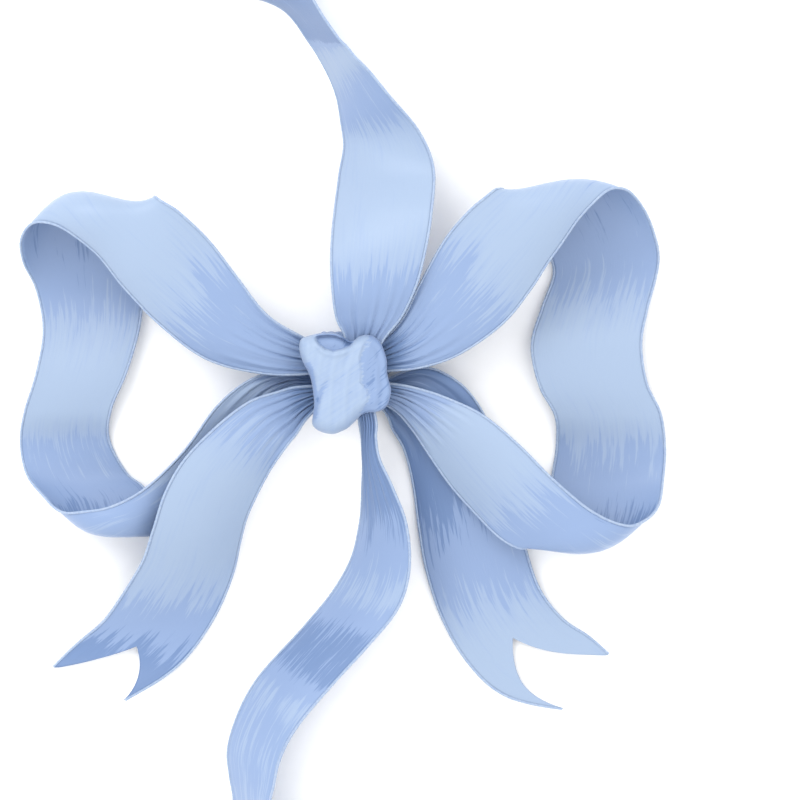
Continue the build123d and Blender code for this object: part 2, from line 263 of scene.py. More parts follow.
right_tail_path = [
    (MOUTH, -5, 4.8, 88, 4, 0.18, 0.0, 0.05, 0.1),
    (15.4, -4.5, 5.2, 78, 6, 0.30, 0.0, 0.08, 0.1),
    (23.5, -6, 5.8, 62, 11, 0.66, 1.0, 0.15, 0.1),
    (31.5, -12, 6, 50, 13, 0.82, 1.5, 0.12, 0.1),
    (37, -21, 5.8, 40, 13, 0.90, 1.5, 0.1, 0.1),
    (41, -33, 4.8, 31, 11, 0.93, 1.5, 0.12, 0.1),
    (45, -48.5, 3.6, 21, 7, 0.97, 1.5, 0.26, 0.1),
    (48, -64, 2.6, 17, 5, 0.97, 1.0, 0.45, 0.1),
    (53.5, -81, 2.2, 16, 3, 0.97, 1.0, 0.62, 0.1),
    (62.5, -95, 2.2, 23, 3, 1.00, 0.5, 0.88, 0.1),
    (74, -104.5, 3, 36, 6, 0.98, 0.0, 0.92, 0.1),
    (89, -110.5, 5, 52, 14, 0.70, 0.0, 0.85, 0.1),
]

# %% The two long ends of the tying ribbon
upper_streamer_path = [
    (4.5, 5.5, STREAMER_LEVEL, 0, 0, 0.22, 0.0, 0.3, 0.1),
    (7.5, 16, STREAMER_LEVEL, 0, 0, 0.36, 0.0, 0.42, 0.1),
    (9, 23.5, 22, 0, 4, 0.60, 1.0, 0.48, 0.2),
    (11, 34, 26.5, 2, 8, 0.78, 2.0, 0.5, 0.2),
    (12.5, 47, 27.5, 3, 12, 0.90, 2.5, 0.76, 0.2),
    (14, 60.5, 24, 3, 16, 0.96, 2.5, 0.94, 0.2),
    (15.3, 76, 15.5, 3, 22, 0.96, 2.5, 0.92, 0.2),
    (13.7, 88.5, 13, 6, 37, 0.90, 2.0, 0.76, 0.2),
    (7.8, 100, 15, 15, 54, 0.87, 1.5, 0.5, 0.2),
    (2.8, 109.5, 16, 24, 65, 0.84, 1.0, 0.6, 0.2),
    (-1.5, 116.2, 16.6, 12, 70, 0.80, 0.6, 0.78, 0.2),
    (-5, 121.6, 16.8, -9, 68, 0.80, 0.4, 0.62, 0.2),
    (-8, 125.5, 16.9, -24, 62, 0.84, 0.2, 0.12, 0.2),
    (-11.7, 130.6, 17.2, -24, 62, 0.86, 0.0, 0.06, 0.2),
    (-15.6, 135.4, 17.5, -16, 63, 0.88, 0.0, 0.1, 0.2),
    (-20.6, 140.6, 17.6, 0, 61, 0.93, 0.0, 0.2, 0.2),
    (-26.5, 147, 15.3, 20, 47, 0.95, 0.0, 0.5, 0.3),
    (-35, 154.5, 9.4, 38, 25, 0.98, 0.0, 0.6, 0.3),
    (-45, 162, 4.0, 50, 8, 1.00, 0.0, 0.6, 0.3),
    (-55, 168.5, 0.9, 56, 0, 1.00, 0.0, 0.6, 0.3),
]
lower_streamer_path = [
    (6.5, -5.5, STREAMER_LEVEL, 0, 0, 0.15, 0.0, 0.3, 0.1),
    (8.5, -14, STREAMER_LEVEL, 2, 6, 0.15, 0.0, 0.2, 0.1),
    (8.9, -20.5, 17.3, 8, 45, 0.20, 0.3, 0.2, 0.1),
    (9.6, -28, 14.5, 12, 64, 0.36, 0.8, 0.06, 0.1),
    (12, -39.5, 12.6, 8, 60, 0.60, 1.2, 0.1, 0.1),
    (14, -52, 12.2, 4, 52, 0.74, 1.5, 0.3, 0.1),
    (13, -66.5, 12, -4, 46, 0.80, 1.5, 0.5, 0.1),
    (7.5, -80, 11.6, -10, 42, 0.84, 1.5, 0.62, 0.1),
    (-3, -93, 11.2, -17, 41, 0.82, 1.5, 0.22, 0.1),
    (-14, -105, 10.9, -23, 42, 0.78, 1.5, 0.22, 0.1),
    (-23, -115.5, 10.9, -23, 43, 0.77, 1.5, 0.6, 0.1),
    (-29.5, -126, 11, -17, 44, 0.76, 1.5, 0.56, 0.1),
    (-33.5, -137, 10.8, -10, 45, 0.73, 1.5, 0.6, 0.1),
    (-34, -146, 12.9, -4, 54, 0.74, 1.0, 0.56, 0.1),
    (-33.8, -154.5, 13.5, 0, 60, 0.72, 0.6, 0.6, 0.1),
    (-31, -165, 12.5, 8, 45, 0.80, 0.3, 0.6, 0.1),
    (-25, -175, 7, 20, 18, 0.92, 0.0, 0.6, 0.1),
    (-17, -184, 0.9, 30, 0, 1.00, 0.0, 0.6, 0.1),
]
print("places:", [len(path) for path in (left_loop_path, right_loop_path, left_tail_path,
                                         right_tail_path, upper_streamer_path, lower_streamer_path)])


# %% [markdown]
# ## From places to cloth
#
# A smooth curve through the places gives a row every millimetre and a half. Each row is then bent:
# first by its bulge, and then by pleats. A pleat is a thread line that keeps its place across the
# ribbon, so the pleats fan out of the knot by themselves as the ribbon widens, and their height is
# what uses up the cloth. The pleats are a sum of three waves that don't repeat, and die away
# about forty millimetres from the knot.

# %% A smooth curve through the places
ROW_STEP = 1.5
FINE = 14  # curve points between two places


def smooth_rows(path):
    """The places with smooth in-between ones, and how far along the ribbon each is."""
    places = np.array([path[0], *path, path[-1]], float)
    rows = []
    for before, start, finish, after in zip(places, places[1:], places[2:], places[3:]):
        for step in range(FINE):
            t = step / FINE
            rows.append(0.5 * (2 * start + (finish - before) * t
                               + (2 * before - 5 * start + 4 * finish - after) * t ** 2
                               + (3 * start - before - 3 * finish + after) * t ** 3))
    rows = np.array([*rows, places[-1]])
    steps = np.linalg.norm(np.diff(rows[:, :3], axis=0), axis=1)
    return rows, np.concatenate([[0], np.cumsum(steps)])


def pleat_wave(u, seed):
    """Three waves across the ribbon that don't repeat, from -1 to 1."""
    turn = 0.9 * seed
    return (0.55 * np.sin(2 * np.pi * (2.9 * u + turn)) + 0.3 * np.sin(2 * np.pi * (4.7 * u - turn))
            + 0.15 * np.sin(2 * np.pi * (8.3 * u + 2 * turn)))


class RibbonShape:
    """Gives the point of a ribbon that lies u across it (-1 to 1) and v millimetres along it."""

    def __init__(self, path, outward, seed, fade=38.0, both_ends=False, bulge_lean=0.0):
        self.rows, self.along = smooth_rows(path)
        self.length = self.along[-1]
        self.seed, self.fade, self.both_ends, self.bulge_lean = seed, fade, both_ends, bulge_lean
        turn, tilt = np.radians(self.rows[:, 3]), np.radians(self.rows[:, 4])
        self.across = np.stack([np.cos(tilt) * np.cos(turn), np.cos(tilt) * np.sin(turn),
                                np.sin(tilt)], 1)
        onward = np.gradient(self.rows[:, :3], axis=0)
        normal = np.cross(onward, self.across) * outward
        self.normal = normal / np.linalg.norm(normal, axis=1)[:, None]

    def at(self, v, table):
        """A table of the rows read v millimetres along."""
        table = np.asarray(table)
        if table.ndim == 1:
            return np.interp(v, self.along, table)
        return np.stack([np.interp(v, self.along, column) for column in table.T], -1)

    def points(self, u, v):
        """Points for arrays u and v, and the side-to-side and outward directions there."""
        middle, across = self.at(v, self.rows[:, :3]), self.at(v, self.across)
        outward = self.at(v, self.normal)
        share, bulge = self.at(v, self.rows[:, 5]), self.at(v, self.rows[:, 6])
        width = RIBBON_WIDTH * share
        spare = np.sqrt(np.maximum(1 / np.clip(share, 0.1, 1) ** 2 - 1, 0))
        height = np.clip(width / 14 * spare * 0.5, 0, 0.85)
        near = np.minimum(v, self.length - v) if self.both_ends else v
        height = height * np.clip(1 - near / self.fade, 0, 1) ** 0.7
        ripple = 0.35 * np.sin(2 * np.pi * (v / 47 + 0.3 * self.seed)) * u ** 3
        ripple = ripple * np.clip(near / 30, 0, 1)
        bowed = bulge * (1 - u ** 2) * (1 + self.bulge_lean * u)
        lift = bowed + height * pleat_wave(u, self.seed) + ripple
        return (middle + across * (width * u / 2)[..., None] + outward * lift[..., None],
                across, outward)


ribbon_shapes = {
    "left_loop": RibbonShape(left_loop_path, 1, 0.2, both_ends=True, bulge_lean=1.2),
    "right_loop": RibbonShape(right_loop_path, -1, 0.7, both_ends=True, bulge_lean=0.5),
    "left_tail": RibbonShape(left_tail_path, 1, 0.4),
    "right_tail": RibbonShape(right_tail_path, 1, 0.9),
    "upper_streamer": RibbonShape(upper_streamer_path, -1, 0.1),
    "lower_streamer": RibbonShape(lower_streamer_path, 1, 0.6, fade=50.0),
}
for ribbon_name, ribbon_shape in ribbon_shapes.items():
    print(ribbon_name, "is", round(ribbon_shape.length), "mm long")


# %% A mesh of cloth with two faces
def mesh_object(name, points, faces, smooth=True):
    """A new object at the origin with these points, in millimetres, and faces."""
    mesh = bpy.data.meshes.new(name)
    mesh.from_pydata((np.asarray(points) * MM).tolist(), [], faces)
    mesh.polygons.foreach_set("use_smooth", [smooth] * len(mesh.polygons))
    piece = bpy.data.objects.new(name, mesh)
    bpy.context.scene.collection.objects.link(piece)
    return piece


def grid_faces(rows, columns, first=0, flip=False, close_rows=False, close_columns=False):
    """Four-sided faces over a grid of points numbered row by row."""
    faces = []
    for row in range(rows if close_rows else rows - 1):
        for column in range(columns if close_columns else columns - 1):
            next_row, next_column = (row + 1) % rows, (column + 1) % columns
            face = [first + row * columns + column, first + row * columns + next_column,
                    first + next_row * columns + next_column, first + next_row * columns + column]
            faces.append(face[::-1] if flip else face)
    return faces


def face_normals(grid):
    """Unit directions square to a grid of points."""
    down, over = np.gradient(grid, axis=0), np.gradient(grid, axis=1)
    square = np.cross(down, over)
    return square / np.maximum(np.linalg.norm(square, axis=2), 1e-9)[..., None]


def paint_shading(piece, values):
    """Painted light and shade: how light the satin looks, kept on the mesh for the finish to read."""
    attribute = piece.data.attributes.new("painted_shading", "FLOAT", "POINT")
    attribute.data.foreach_set("value", np.asarray(values, float).ravel())


def lay_out_flat(piece, flat):
    """The piece's UV map: each point's place on the flat ribbon, in metres."""
    layer = piece.data.uv_layers.new(name="ribbon_flat")
    corners = np.empty(len(piece.data.loops), int)
    piece.data.loops.foreach_get("vertex_index", corners)
    layer.data.foreach_set("uv", (np.asarray(flat)[corners] * MM).ravel())


print("mesh helpers ready")

# %% [markdown]
# ## The ribbons
#
# A ribbon is woven flat, so it is made as a grid: 49 threads across and a row every millimetre and
# a half. The grid is copied a cloth's thickness away to give it its second face, and the rim is
# closed. Swallowtail ends are cut as the florist cuts them, with one fold and one snip: here the
# last rows simply stop at the cut, so that the edge stays clean.

# %% Make the ribbons
THREADS = 49
cloth_pieces = {}


def cut_line(shape, u, notch, lean):
    """How far along the ribbon each thread runs before the cut, with an arched swallowtail."""
    if not notch:
        return np.full_like(u, shape.length)
    curve = np.where(u < 0, lean, 1 / lean)
    return shape.length - notch * (1 - np.abs(u)) ** curve


def weave_ribbon(name, notch=0.0, lean=1.0):
    shape = ribbon_shapes[name]
    rows = int(shape.length / ROW_STEP)
    u, v = np.meshgrid(np.linspace(-1, 1, THREADS), np.linspace(0, shape.length, rows))
    stop = cut_line(shape, u, notch, lean)
    straight = shape.length - notch - 12
    drawn_in = straight + (v - straight) * (stop - straight) / (shape.length - straight)
    v = np.where(v > straight, drawn_in, v)
    middle, _, outward = shape.points(u, v)
    square = face_normals(middle)
    square *= np.sign(np.sum(square * outward, axis=2))[..., None]
    points = np.concatenate([(middle + square * CLOTH / 2).reshape(-1, 3),
                             (middle - square * CLOTH / 2).reshape(-1, 3)])
    down, over = middle[1, 24] - middle[0, 24], middle[0, 25] - middle[0, 24]
    flip = float(np.dot(np.cross(over, down), square[0, 24])) < 0
    half = rows * THREADS
    faces = grid_faces(rows, THREADS, 0, flip) + grid_faces(rows, THREADS, half, not flip)
    rim = ([column for column in range(THREADS)]
           + [row * THREADS + THREADS - 1 for row in range(1, rows)]
           + [(rows - 1) * THREADS + column for column in range(THREADS - 2, -1, -1)]
           + [row * THREADS for row in range(rows - 2, 0, -1)])
    for here, there in zip(rim, rim[1:] + rim[:1]):
        face = [here, here + half, there + half, there]
        faces.append(face[::-1] if flip else face)
    piece = mesh_object(name + "_satin", points, faces)
    flat = np.stack([(u + 1) * RIBBON_WIDTH / 2, v], -1).reshape(-1, 2)
    lay_out_flat(piece, np.concatenate([flat, flat]))
    # Painted light and shade from the last two numbers of each place, outside and inside.
    paint_shading(piece, np.concatenate([shape.at(v, shape.rows[:, 7]).ravel(),
                                        shape.at(v, shape.rows[:, 8]).ravel()]))
    cloth_pieces[name] = piece
    print(piece.name, len(piece.data.vertices), "points")
    return piece


CUT_CURVES = {"left_tail": 1.25, "right_tail": 0.78}
for ribbon_name in ribbon_shapes:
    weave_ribbon(ribbon_name, NOTCHES.get(ribbon_name, 0.0), CUT_CURVES.get(ribbon_name, 1.0))


# %% [markdown]
# ## The wired hems
#
# Both selvedges are turned over a fine wire and stitched down, which is what lets such a bow be
# pulled open and keep its shape. The hem follows the ribbon's edge and its stitches repeat, so
# Geometry Nodes sweeps a bead along each edge and sets a stitch every two millimetres.

# %% A node tree that sews a hem along an edge
def hem_tree():
    tree = bpy.data.node_groups.new("wired_hem", "GeometryNodeTree")
    sockets = tree.interface
    sockets.new_socket("Edge", in_out="INPUT", socket_type="NodeSocketGeometry")
    sizes = {"Bead radius": HEM * MM, "Stitch spacing": 2.0 * MM, "Stitch length": 0.9 * MM}
    for name, value in sizes.items():
        socket = sockets.new_socket(name, in_out="INPUT", socket_type="NodeSocketFloat")
        socket.default_value = value
    sockets.new_socket("Thread", in_out="INPUT", socket_type="NodeSocketMaterial")
    sockets.new_socket("Hem", in_out="OUTPUT", socket_type="NodeSocketGeometry")
    given = tree.nodes.new("NodeGroupInput").outputs
    line = add_node(tree, "GeometryNodeMeshToCurve", Mesh=given["Edge"])
    ring = add_node(tree, "GeometryNodeCurvePrimitiveCircle", Resolution=8, Radius=given["Bead radius"])
    bead = add_node(tree, "GeometryNodeCurveToMesh", Curve=line.outputs[0],
                    Profile_Curve=ring.outputs[0], Fill_Caps=True)
    spots = add_node(tree, "GeometryNodeCurveToPoints", {"mode": "LENGTH"}, Curve=line.outputs[0],
                     Length=given["Stitch spacing"])
    wrap = add_node(tree, "ShaderNodeMath", {"operation": "MULTIPLY"},
                    in_0=given["Bead radius"], in_1=2.5)
    size = add_node(tree, "ShaderNodeCombineXYZ", X=wrap.outputs[0], Y=wrap.outputs[0],
                    Z=given["Stitch length"])
    knob = add_node(tree, "GeometryNodeMeshIcoSphere", Radius=0.5, Subdivisions=1)
    stitches = add_node(tree, "GeometryNodeInstanceOnPoints", Points=spots.outputs["Points"],
                        Instance=knob.outputs[0], Rotation=spots.outputs["Rotation"],
                        Scale=size.outputs[0])
    both = tree.nodes.new("GeometryNodeJoinGeometry")
    tree.links.new(bead.outputs[0], both.inputs[0])
    tree.links.new(stitches.outputs[0], both.inputs[0])
    real = add_node(tree, "GeometryNodeRealizeInstances", Geometry=both.outputs[0])
    smooth = add_node(tree, "GeometryNodeSetShadeSmooth", Geometry=real.outputs[0])
    dressed = add_node(tree, "GeometryNodeSetMaterial", Geometry=smooth.outputs[0],
                       Material=given["Thread"])
    result = tree.nodes.new("NodeGroupOutput")
    tree.links.new(dressed.outputs[0], result.inputs[0])
    return tree


wired_hem = hem_tree()
print("hem tree inputs:", [s.name for s in wired_hem.interface.items_tree if s.in_out == "INPUT"])


# %% [markdown]
# ## The finishes
#
# Polyester satin is woven so that long shiny floats of yarn lie along the ribbon. It is bright and
# soft at once: a broad sheen that stretches across the floats, with fine streaks along them. Its
# colour here is painted light and shade: a deeper blue as painted shade, an almost white blue as painted
# highlight.

# %% Satin
# Painted shade, middle tone, painted light and painted highlight of one blue dye.
PAINTED_SHADE_BLUE, MIDDLE, PAINTED_LIGHT_BLUE, PAINTED_HIGHLIGHT_BLUE = "#819fd0", "#9fb9e5", "#afc6ea", "#b6cceb"
DYE = 1 / STUDIO_LIGHT


def satin(name, colours, streak_range):
    material, tree, shader = new_material(name)
    flat = add_node(tree, "ShaderNodeUVMap", {"uv_map": "ribbon_flat"})
    # Streaks along the floats, about a millimetre wide and twenty long.
    stretched = add_node(tree, "ShaderNodeMapping", Vector=flat.outputs[0],
                         Scale=(1 / (1.1 * MM), 1 / (22 * MM), 1))
    streaks = add_node(tree, "ShaderNodeTexNoise", Vector=stretched.outputs[0], Scale=1.0, Detail=3.0,
                       Roughness=0.6)
    # Broad soft patches, where the ribbon was pulled.
    pulled = add_node(tree, "ShaderNodeMapping", Vector=flat.outputs[0],
                      Scale=(1 / (9 * MM), 1 / (40 * MM), 1))
    patches = add_node(tree, "ShaderNodeTexNoise", Vector=pulled.outputs[0], Scale=1.0, Detail=2.0)
    # The painted light and shade on the mesh, with the random streaks and patches, picks the tone of the
    # dye.
    painted_shading = add_node(tree, "ShaderNodeAttribute", {"attribute_name": "painted_shading"})
    streaked = add_node(tree, "ShaderNodeMath", {"operation": "MULTIPLY_ADD"},
                        in_0=streaks.outputs["Fac"], in_1=streak_range, in_2=painted_shading.outputs["Fac"])
    patched = add_node(tree, "ShaderNodeMath", {"operation": "MULTIPLY_ADD"},
                       in_0=patches.outputs["Fac"], in_1=0.30, in_2=streaked.outputs[0])
    level = add_node(tree, "ShaderNodeMath", {"operation": "SUBTRACT"}, in_0=patched.outputs[0],
                     in_1=streak_range / 2 + 0.15)
    ramp = add_node(tree, "ShaderNodeValToRGB", Fac=level.outputs[0])
    ramp.color_ramp.interpolation = "LINEAR"
    stops = ramp.color_ramp.elements
    # Three sweeps of one dye, painted shade, middle and painted light, each running into the next over a
    # short way, with ragged ends.
    stops[0].position, stops[0].color = 0.0, linear(colours[0], DYE * 0.97)
    stops[1].position, stops[1].color = 1.0, linear(colours[3], DYE)
    for position, colour in ((0.24, colours[0]), (0.30, colours[1]), (0.58, colours[1]),
                             (0.64, colours[2]), (0.86, colours[3])):
        stops.new(position).color = linear(colour, DYE)
    tree.links.new(ramp.outputs["Color"], shader.inputs["Base Color"])
    # The yarns are 0.15 mm apart, too fine to show, and are drawn four times as coarse.
    yarns = add_node(tree, "ShaderNodeMapping", Vector=flat.outputs[0],
                     Scale=(1 / (0.6 * MM), 1 / (5 * MM), 1))
    floats = add_node(tree, "ShaderNodeTexNoise", Vector=yarns.outputs[0], Scale=1.0, Detail=2.0)
    bump = add_node(tree, "ShaderNodeBump", Strength=0.35, Distance=0.12 * MM,
                    Height=floats.outputs["Fac"])
    tree.links.new(bump.outputs["Normal"], shader.inputs["Normal"])
    rough = add_node(tree, "ShaderNodeMapRange", Value=streaks.outputs["Fac"], To_Min=0.36, To_Max=0.5)
    tree.links.new(rough.outputs[0], shader.inputs["Roughness"])
    along = add_node(tree, "ShaderNodeTangent", {"direction_type": "UV_MAP", "uv_map": "ribbon_flat"})
    tree.links.new(along.outputs[0], shader.inputs["Tangent"])
    shader.inputs["Anisotropic"].default_value = 0.6
    shader.inputs["Specular IOR Level"].default_value = 0.35
    shader.inputs["Sheen Weight"].default_value = 0.12
    shader.inputs["Sheen Roughness"].default_value = 0.4
    return material


blue_satin = satin("polyester_satin_woven", (PAINTED_SHADE_BLUE, MIDDLE, PAINTED_LIGHT_BLUE, PAINTED_HIGHLIGHT_BLUE), 0.85)
for piece in cloth_pieces.values():
    piece.data.materials.append(blue_satin)
print("satin on", len(cloth_pieces), "ribbons")

# %% Hem thread
hem_thread, tree, shader = new_material("hem_thread_merrowed")
place = add_node(tree, "ShaderNodeTexCoord")
twist = add_node(tree, "ShaderNodeTexNoise", Vector=place.outputs["Object"], Scale=900.0, Detail=2.0)
ramp = add_node(tree, "ShaderNodeValToRGB", Fac=twist.outputs["Fac"])
ramp.color_ramp.elements[0].position = 0.3
ramp.color_ramp.elements[0].color = linear("#a9c1e8", DYE)
ramp.color_ramp.elements[1].position = 0.7
ramp.color_ramp.elements[1].color = linear("#c3d7f2", DYE)
tree.links.new(ramp.outputs["Color"], shader.inputs["Base Color"])
bump = add_node(tree, "ShaderNodeBump", Strength=0.4, Distance=0.1 * MM, Height=twist.outputs["Fac"])
tree.links.new(bump.outputs["Normal"], shader.inputs["Normal"])
shader.inputs["Roughness"].default_value = 0.45
shader.inputs["Sheen Weight"].default_value = 0.1
print("hem thread ready")


# %% [markdown]
# The hem's line is the ribbon's own edge, moved out by the gap that the wire stands off from the
# cut edge, so the bead always holds the wire inside it.

# %% Sew the hems
def set_input(modifier, tree, name, value):
    """A Geometry Nodes input is set by its socket's identifier, looked up by its name."""
    socket = next(item for item in tree.interface.items_tree
                  if item.name == name and item.in_out == "INPUT")
    modifier[socket.identifier] = value


def bake_nodes(piece, name):
    """The evaluated piece as a plain mesh object of that name."""
    evaluated = piece.evaluated_get(bpy.context.evaluated_depsgraph_get())
    mesh = bpy.data.meshes.new_from_object(evaluated)
    mesh.name = name
    made = bpy.data.objects.new(name, mesh)
    bpy.context.scene.collection.objects.link(made)
    bpy.data.objects.remove(piece)
    return made


hem_pieces = {}


def sew_hems(name):
    shape = ribbon_shapes[name]
    end = shape.length - 0.6
    v = np.linspace(0.4, end, int(shape.length / 1.2))
    points, edges = [], []
    for side in (-1, 1):
        edge, across, _ = shape.points(np.full_like(v, side), v)
        line = edge + across * (side * WIRE_GAP)
        edges += [(len(points) + i, len(points) + i + 1) for i in range(len(v) - 1)]
        points += line.tolist()
    mesh = bpy.data.meshes.new("hem_line")
    mesh.from_pydata((np.array(points) * MM).tolist(), edges, [])
    line = bpy.data.objects.new("hem_line", mesh)
    bpy.context.scene.collection.objects.link(line)
    modifier = line.modifiers.new("sew", "NODES")
    modifier.node_group = wired_hem
    set_input(modifier, wired_hem, "Thread", hem_thread)
    hem_pieces[name] = bake_nodes(line, name + "_hems")
    print(hem_pieces[name].name, len(hem_pieces[name].data.polygons), "faces")


for ribbon_name in ribbon_shapes:
    sew_hems(ribbon_name)


# %% [markdown]
# ## The knot
#
# The front of the knot is the tying ribbon folded over itself and pulled tight: a plump lobed
# cushion with a hollow at the top, where the ribbon curls over and the upper end comes out, a side
# that falls away to the right, and a narrow turned strip at the left. Its outline is given as
# places round it, and its height as a rounded edge with those folds pressed in. Rings of points
# from the middle to the outline carry the height.

# %% The knot's outline and folds, in millimetres
KNOT_BACK = 21.3
KNOT_MIDDLE = (0.0, -1.0)
knot_outline = [
    (-15.6, 15.5), (-12.4, 16.8), (-9, 17.6), (-6, 17.8), (-3.2, 17.6), (-0.7, 16.6), (2.6, 14.7),
    (5.8, 16.6), (8.7, 17.0), (11.2, 16.2), (13.3, 14.2), (14.9, 10.4), (15.6, 7.3), (15.7, 3.5),
    (16.4, 0.2), (17.1, -3), (16.7, -6), (15.4, -9), (12.7, -10.8), (7.8, -11.4), (5.8, -12.6),
    (4, -14.4), (1.5, -16.8), (-0.8, -18), (-3.6, -19), (-6.9, -18.7), (-9.8, -17.5),
    (-11.3, -16), (-11.6, -14.4), (-11.2, -11.4), (-10.9, -8), (-11.2, -4.5), (-11.9, 0.2),
    (-13.1, 3.6), (-14.8, 6.8), (-15.9, 10), (-16.3, 12.8),
]
hollow_front = [(-11.4, 15.6), (-9.6, 13.6), (-7, 11.4), (-3.6, 10.6), (-0.7, 11.2), (2.2, 12.6),
                (4.2, 14.6)]
hollow_back = [(-11.4, 16.4), (-9, 17.0), (-6, 17.3), (-3.2, 17.1), (-0.7, 16.2), (2.2, 14.7),
               (4.2, 14.6)]
side_fold = [(-20, 5.0), (-11.4, 4.8), (-10, 6.3), (-6.3, 8.2), (-2.7, 7.9), (-0.5, 5.4), (3.5, 5.8),
             (8.6, 5.2), (11, 5.8), (15.9, 8.0), (20, 9)]
turned_strip = [(-4.4, 2.6), (-7.8, -2.8), (-9.6, -6.7), (-10.3, -10), (-10.8, -13.5)]


def closed_curve(corners, count):
    """Points evenly spread round a smooth closed curve through the corners."""
    corners = np.array(corners, float)
    t = np.arange(count) / count * len(corners)
    first = t.astype(int)
    t = (t - first)[:, None]
    before, start, finish, after = (corners[(first + k) % len(corners)] for k in (-1, 0, 1, 2))
    return 0.5 * (2 * start + (finish - before) * t + (2 * before - 5 * start + 4 * finish - after) * t ** 2
                  + (3 * start - before - 3 * finish + after) * t ** 3)


def ease(t):
    """0 below 0, 1 above 1, and smooth between."""
    t = np.clip(t, 0, 1)
    return t * t * (3 - 2 * t)


def distance_to(line, x, y):
    """How far each point is from a line of places."""
    best = np.full(x.shape, 1e9)
    for (ax, ay), (bx, by) in zip(line, line[1:]):
        length2 = (bx - ax) ** 2 + (by - ay) ** 2
        t = np.clip(((x - ax) * (bx - ax) + (y - ay) * (by - ay)) / length2, 0, 1)
        best = np.minimum(best, np.hypot(x - ax - t * (bx - ax), y - ay - t * (by - ay)))
    return best


def knot_surface(x, y, inside):
    """Height over the back of the knot and its painted light and shade, inside millimetres in."""
    edge = np.clip(inside / 4.5, 0, 1)
    height = 6.3 * np.sqrt(1 - (1 - edge) ** 2) + 0.7 * ease(inside / 12)
    fold_x = np.interp(y, *zip(*side_fold))
    past = np.maximum(x - fold_x, 0)
    ragged = np.maximum(x - fold_x - 0.35 * np.sin(4.1 * y) - 0.25 * np.sin(9.7 * y - x), 0)
    height -= (0.24 * past + 0.5 * ease(past / 1.0)) * ease(inside / 3)
    front = np.interp(x, *zip(*hollow_front))
    back = np.interp(x, *zip(*hollow_back))
    within = ease((x + 11.0) / 2.0) * ease((4.0 - x) / 1.2)
    hollow = ease((y - front) / 1.1) * ease((back - y) / 0.8) * within
    height -= 3.2 * hollow * ease(inside / 1.2)
    height += 0.7 * np.exp(-((y - front + 1.1) / 1.0) ** 2) * within * ease(inside / 2)
    crease = np.exp(-(distance_to(turned_strip, x, y) / 0.9) ** 2) * ease((2.5 - y) / 6)
    height -= 0.7 * crease * ease(inside / 0.8)
    flow = x - 0.12 * (y + 2) - 2.0 * np.exp(-((y - 14) / 8) ** 2)
    flutes = np.sin(flow * 1.15 + 0.8) * 0.6 + np.sin(flow * 2.3 + 0.16 * y) * 0.4
    height += 0.13 * flutes * ease(inside / 2.5) * (1 - hollow)
    margin = ease((-9.6 - 0.22 * y - x) / 1.4) * ease((9 - y) / 4) * ease((y + 10) / 4)
    shade = ease((y - front) / 1.1) * within
    # Painted light and shade: darker past the side fold where the knot falls away, in the turned strip's
    # crease, along the left margin and at the very edge, darkest in the hollow; lighter along the flutes
    # and towards the top.
    painted_shading = 0.78 + 0.08 * flutes - 0.4 * ease(ragged / 2.6) - 0.25 * crease - 0.34 * margin
    painted_shading -= (0.46 + 0.3 * ease((x + 2) / 4)) * shade
    painted_shading += 0.08 * ease((y - 4) / 10) - 0.05 * ease(1 - inside / 2)
    return np.maximum(height, 0.2), painted_shading


# %% Make the front of the knot
SPOKES, RINGS = 260, 84


def make_knot():
    outline = closed_curve(knot_outline, SPOKES)
    centre = np.array(KNOT_MIDDLE)
    share = 1 - (1 - np.linspace(0, 1, RINGS + 1)[1:]) ** 1.35
    share[-1] = 1.0
    grid = centre + (outline - centre)[None] * share[:, None, None]
    x, y = grid[..., 0], grid[..., 1]
    inside = np.linalg.norm(outline[None] - grid, axis=2) * 0.92
    height, painted_shading = knot_surface(x, y, inside)
    top = np.stack([x, y, KNOT_BACK + height], -1)
    under_share = np.array([1.0, 0.97, 0.9, 0.6, 0.3])
    under = centre + (outline - centre)[None] * under_share[:, None, None]
    drop = np.array([0.0, -0.25, -0.35, -0.35, -0.35])
    level = np.broadcast_to((KNOT_BACK + drop)[:, None, None], (len(drop), SPOKES, 1))
    under = np.concatenate([under, level], -1)
    rings = np.concatenate([top, under[1:]])
    rows = len(rings)
    points = np.concatenate([rings.reshape(-1, 3),
                             [[*KNOT_MIDDLE, KNOT_BACK + height[0].mean()],
                              [*KNOT_MIDDLE, KNOT_BACK + drop[-1]]]])
    faces = grid_faces(rows, SPOKES, close_columns=True)
    top_middle, under_middle = rows * SPOKES, rows * SPOKES + 1
    last = (rows - 1) * SPOKES
    for spoke in range(SPOKES):
        following = (spoke + 1) % SPOKES
        faces.append([top_middle, following, spoke])
        faces.append([under_middle, last + spoke, last + following])
    piece = mesh_object("knot_front_satin", points, faces)
    # Painted shade: the underside of the knot and its middle point are dark.
    painted_under_shade = np.full((rows - RINGS) * SPOKES, 0.2)
    tones = np.concatenate([painted_shading.ravel(), painted_under_shade, [painted_shading[0].mean(), 0.2]])
    paint_shading(piece, tones)
    rise, run = points[:, 1] + 0.5 * points[:, 2], points[:, 0]
    lay_out_flat(piece, np.stack([0.82 * rise - 0.57 * run + 30, 0.57 * rise + 0.82 * run + 40], -1))
    piece.data.materials.append(blue_satin)
    return piece


def point_outwards(piece):
    """Turns every face of a closed piece to point out of it."""
    shell = bmesh.new()
    shell.from_mesh(piece.data)
    bmesh.ops.recalc_face_normals(shell, faces=shell.faces)
    shell.to_mesh(piece.data)
    shell.free()


knot_front_satin = make_knot()
point_outwards(knot_front_satin)
print(knot_front_satin.name, len(knot_front_satin.data.polygons), "faces")


# %% [markdown]
# ## The band and the gathers inside it
#
# Under its plump front the tying ribbon goes once round the gathered waist, flattened where it is
# pressed on the gift. It is a rounded ring with the creases of a ribbon that is squeezed narrower
# than it was woven. Inside it the bow's own ribbon is a bundle of folds.

# %% Make the band
BAND_ROUND, BAND_ALONG, WAIST_ROUND = 150, 45, 192


